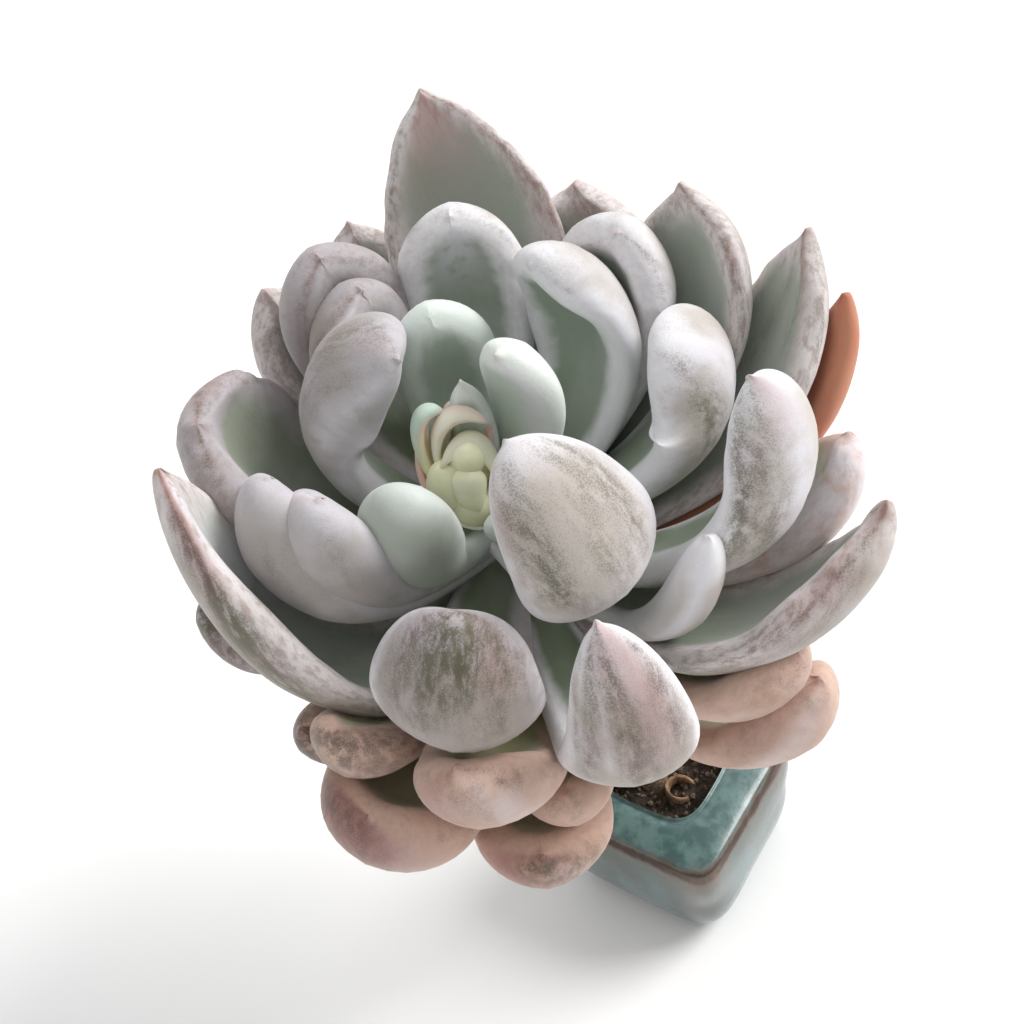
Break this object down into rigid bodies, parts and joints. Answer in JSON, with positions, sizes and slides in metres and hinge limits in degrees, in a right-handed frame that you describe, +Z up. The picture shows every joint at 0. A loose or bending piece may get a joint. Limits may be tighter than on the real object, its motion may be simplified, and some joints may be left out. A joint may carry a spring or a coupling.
{
  "type": "potted echeveria succulent",
  "caption": "Thick-leaved rosette succulent with bloomed, pink-tipped spoon leaves on a leaning stem, in a small square glazed pot.",
  "frame": {"origin": "centre of the pot's foot, on the surface where the pot stands", "axes": "+Z up; the rosette leans to the left (-X) and its face tilts to the front (-Y); the pot's faces are at 45 degrees to X and Y"},
  "size_m": [0.147, 0.1288, 0.2048],
  "materials": {
    "pot_glaze": "glossy teal glaze",
    "soil": "damp loose potting mix",
    "stem_bark": "rough bark",
    "dry_leaf": "dry and wrinkled",
    "young_leaf": "matte with waxy bloom",
    "inner_leaf": "matte with waxy bloom",
    "middle_leaf": "matte with waxy bloom and speckled backs",
    "outer_leaf": "matte with waxy bloom and speckled backs",
    "lower_leaf": "matte, salmon pink with bloom",
    "ember_leaf": "matte, ageing orange",
    "shoot": "matte, pale yellow-green with pink edges"
  },
  "bodies": {
    "root": {"pot": "pot_glaze", "soil": "soil", "stem": "stem_bark", "dry_leaf": "dry_leaf", "young_shoot": "shoot", "heart": "young_leaf", "leaf_inner_01": "young_leaf", "leaf_inner_02": "young_leaf", "leaf_inner_03": "inner_leaf", "leaf_inner_04": "inner_leaf", "leaf_inner_05": "inner_leaf", "leaf_inner_06": "inner_leaf", "leaf_inner_07": "inner_leaf", "leaf_inner_08": "inner_leaf", "leaf_middle_01": "middle_leaf", "leaf_middle_02": "inner_leaf", "leaf_middle_03": "inner_leaf", "leaf_middle_04": "middle_leaf", "leaf_middle_05": "middle_leaf", "leaf_middle_06": "middle_leaf", "leaf_middle_07": "inner_leaf", "leaf_middle_08": "middle_leaf", "leaf_middle_09": "middle_leaf", "leaf_middle_10": "outer_leaf", "leaf_middle_11": "middle_leaf", "leaf_outer_01": "outer_leaf", "leaf_outer_02": "outer_leaf", "leaf_outer_03": "outer_leaf", "leaf_outer_04": "outer_leaf", "leaf_outer_05": "outer_leaf", "leaf_outer_06": "outer_leaf", "leaf_outer_07": "outer_leaf", "leaf_outer_08": "lower_leaf", "leaf_outer_09": "ember_leaf", "leaf_outer_10": "outer_leaf", "leaf_lower_01": "lower_leaf", "leaf_lower_02": "lower_leaf", "leaf_lower_03": "lower_leaf", "leaf_lower_04": "lower_leaf", "leaf_lower_05": "lower_leaf", "leaf_lower_06": "lower_leaf", "leaf_lower_07": "lower_leaf", "leaf_lower_08": "lower_leaf", "leaf_lower_09": "lower_leaf", "leaf_lower_10": "lower_leaf", "leaf_lower_11": "lower_leaf", "leaf_lower_12": "lower_leaf", "leaf_lower_13": "lower_leaf", "leaf_lower_14": "lower_leaf"}
  },
  "joints": []
}
